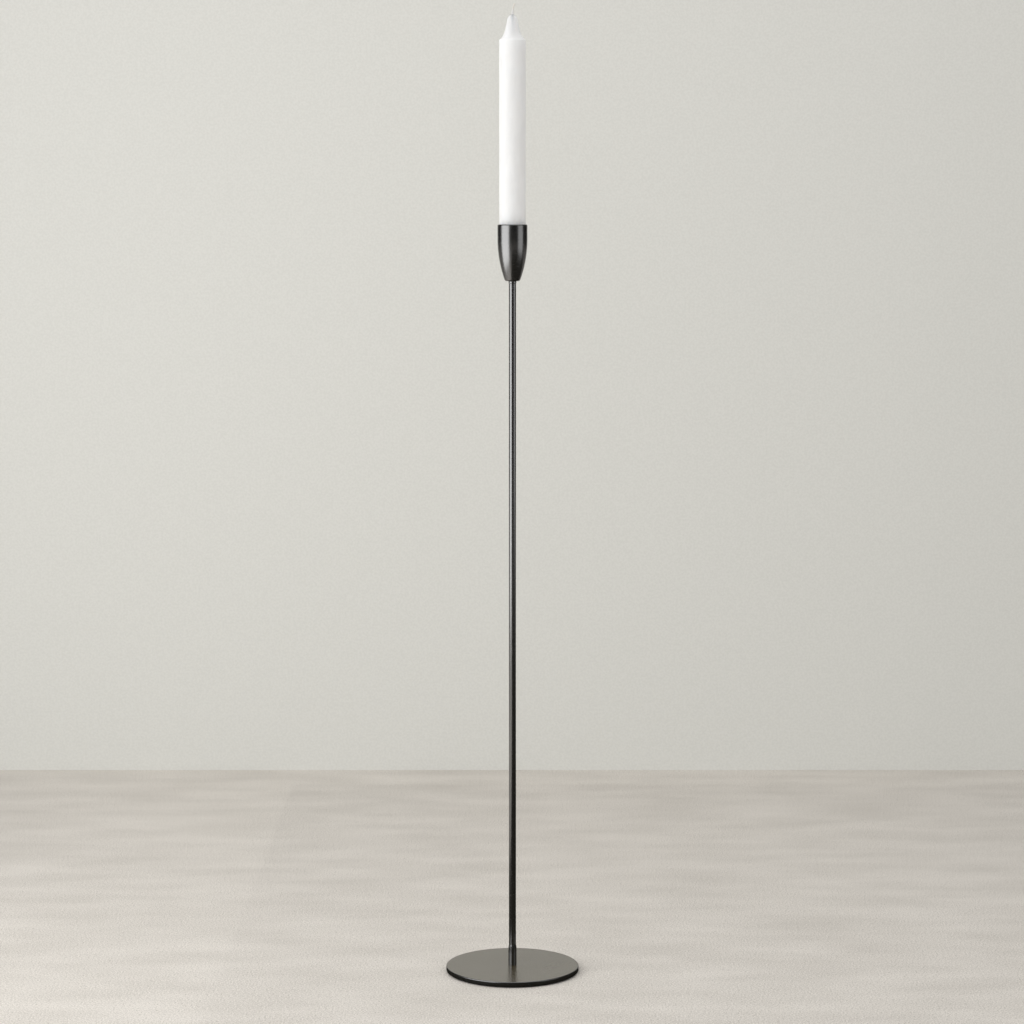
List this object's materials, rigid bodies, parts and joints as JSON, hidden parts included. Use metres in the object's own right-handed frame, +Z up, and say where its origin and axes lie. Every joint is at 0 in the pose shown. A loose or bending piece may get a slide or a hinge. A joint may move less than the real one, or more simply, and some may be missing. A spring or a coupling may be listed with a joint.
{
  "type": "candlestick",
  "caption": "Tall slim pillar stand for one dinner candle: a flat steel disc foot, a thin rod stem in a short socket, and a tapering cup that the candle lifts out of.",
  "frame": {"origin": "centre of the underside of the round foot, on the table", "axes": "+Z up along the stem and the candle, which is the axis that everything is turned about; X and Y lie in the table"},
  "size_m": [0.113, 0.113, 0.8167],
  "materials": {
    "satin_black_paint": "smooth satin black paint on steel, with soft wide highlights",
    "zinc_plated_steel": "bright zinc plating on steel fasteners",
    "black_felt": "short black wool felt, glued on",
    "white_wax": "white candle wax, soft satin and slightly translucent",
    "waxed_cotton": "braided cotton wick, stiff with wax"
  },
  "bodies": {
    "holder": {"base_plate": "satin_black_paint", "base_pad": "black_felt", "base_screw": "zinc_plated_steel", "base_socket": "satin_black_paint", "lower_stud": "zinc_plated_steel", "stem": "satin_black_paint", "neck_collar": "satin_black_paint", "cup": "satin_black_paint", "cup_washer": "zinc_plated_steel", "cup_screw": "zinc_plated_steel"},
    "candle": {"candle_wax": "white_wax", "wick": "waxed_cotton"}
  },
  "joints": [
    {"name": "candle_lift", "type": "slide", "parent": "holder", "child": "candle", "axis": [0, 0, 1], "range_m": [0, 0.06]}
  ]
}
